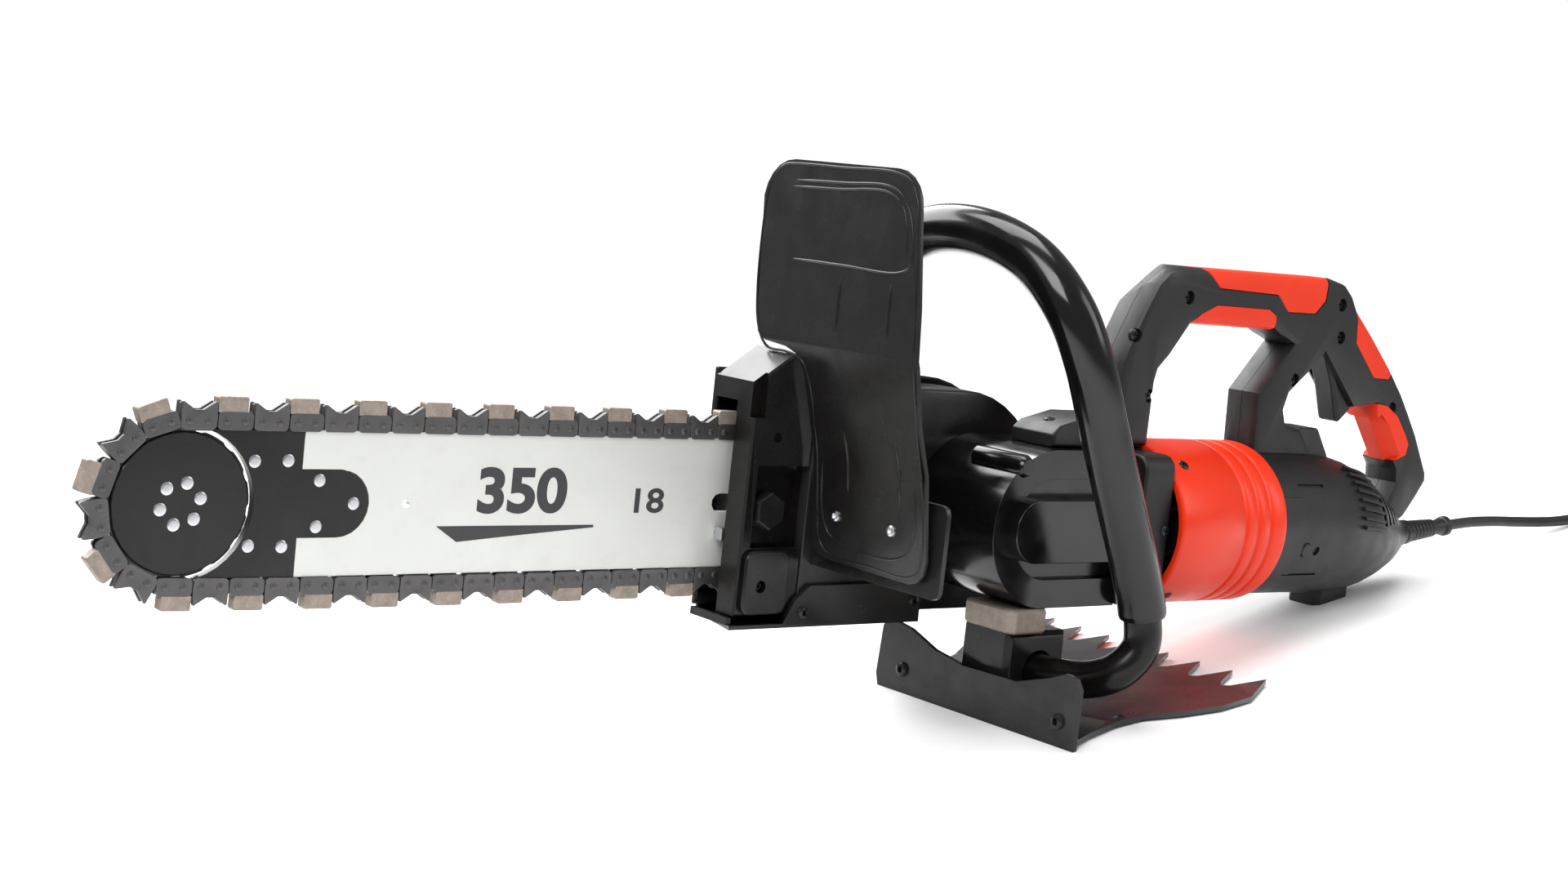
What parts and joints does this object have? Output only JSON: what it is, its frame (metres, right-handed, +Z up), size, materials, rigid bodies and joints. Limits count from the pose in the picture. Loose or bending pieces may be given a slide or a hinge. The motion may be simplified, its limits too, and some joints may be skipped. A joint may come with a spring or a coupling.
{
  "type": "hand-held electric chain trencher",
  "caption": "Electric chain trencher with a diamond-chain guide bar, gear head, barrel motor, wrap-round front handle, hand guard, D-shaped trigger handle and toothed claw plate.",
  "frame": {"origin": "middle of the saw over the floor it stands on, cord left out", "axes": "+X from the bar tip to the cord, +Y to the side the bar is on, +Z up; the saw stands on its front plate and tail foot"},
  "size_m": [1.1747, 0.2455, 0.3306],
  "materials": {
    "bar_paint": "matte light grey",
    "black_metal": "satin black powder coat",
    "chain_steel": "dark oiled steel",
    "gear_head_black": "gloss black enamel",
    "steel": "machined steel",
    "copper": "copper and brass",
    "black_plastic": "fine-grained black nylon",
    "red_plastic": "satin orange-red nylon",
    "red_grip": "soft orange-red overmould",
    "claw_steel": "graphite coat",
    "bare_metal": "bare machined block",
    "cord_rubber": "black rubber"
  },
  "bodies": {
    "saw": {"guide_bar": "bar_paint", "bar_nose": "black_metal", "saw_chain": "chain_steel", "nose_block": "black_metal", "case_body": "black_metal", "side_cover": "black_metal", "bar_bolt": "black_metal", "bar_stud": "steel", "bar_nut_front": "steel", "bar_nut_rear": "steel", "tension_screw": "steel", "chip_tray": "black_metal", "gear_head": "gear_head_black", "shaft_bearing_near": "steel", "shaft_bearing_far": "steel", "motor_flange": "black_plastic", "motor_housing": "red_plastic", "stator": "steel", "motor_bearing_front": "steel", "motor_bearing_rear": "steel", "bearing_bracket": "black_plastic", "brush_holder_near": "copper", "brush_cap_near": "black_plastic", "brush_holder_far": "copper", "brush_cap_far": "black_plastic", "tail_housing": "black_plastic", "grip_top": "red_grip", "grip_under": "red_grip", "grip_rear": "red_grip", "grip_low": "red_grip", "handle_shell_near": "black_plastic", "handle_shell_far": "black_plastic", "switch_body": "black_plastic", "top_bracket": "black_plastic", "hand_guard": "black_metal", "guard_bracket": "black_metal", "front_handle_tube": "gear_head_black", "front_handle_grip": "gear_head_black", "handle_clamp_top": "black_metal", "spacer_block": "bare_metal", "handle_clamp_low": "black_metal", "front_plate": "black_metal", "claw_plate": "claw_steel", "strain_relief": "cord_rubber", "power_cord": "cord_rubber", "cord_coil": "cord_rubber", "cord_tie": "cord_rubber", "plug": "cord_rubber"},
    "nose_wheel": {"nose_wheel": "black_metal"},
    "output": {"output_shaft": "steel", "bevel_gear": "steel", "drive_sprocket": "steel"},
    "armature": {"armature_shaft": "steel", "bevel_pinion": "steel", "armature_core": "copper", "commutator": "copper", "cooling_fan": "black_plastic"},
    "trigger": {"trigger": "black_plastic"}
  },
  "joints": [
    {"name": "armature_spin", "type": "hinge", "parent": "saw", "child": "armature", "pos_m": [0.18617, 0.004, 0.08476], "axis": [0.9825, 0, -0.1865], "continuous": true},
    {"name": "output_spin", "type": "hinge", "parent": "saw", "child": "output", "pos_m": [0.06199, 0.074, 0.10833], "axis": [0, 1, 0], "continuous": true},
    {"name": "nose_wheel_spin", "type": "hinge", "parent": "saw", "child": "nose_wheel", "pos_m": [-0.42884, 0.074, 0.20149], "axis": [0, 1, 0], "continuous": true},
    {"name": "trigger_squeeze", "type": "hinge", "parent": "saw", "child": "trigger", "pos_m": [0.34264, 0.004, 0.16906], "axis": [0, -1, 0], "range_deg": [0, 8], "stiffness_Nm_per_rad": 1, "springref_deg": -5.73}
  ],
  "couplings": [
    {"joint": "output_spin", "follows": "armature_spin", "ratio": -0.25},
    {"joint": "nose_wheel_spin", "follows": "armature_spin", "ratio": -0.17308}
  ]
}
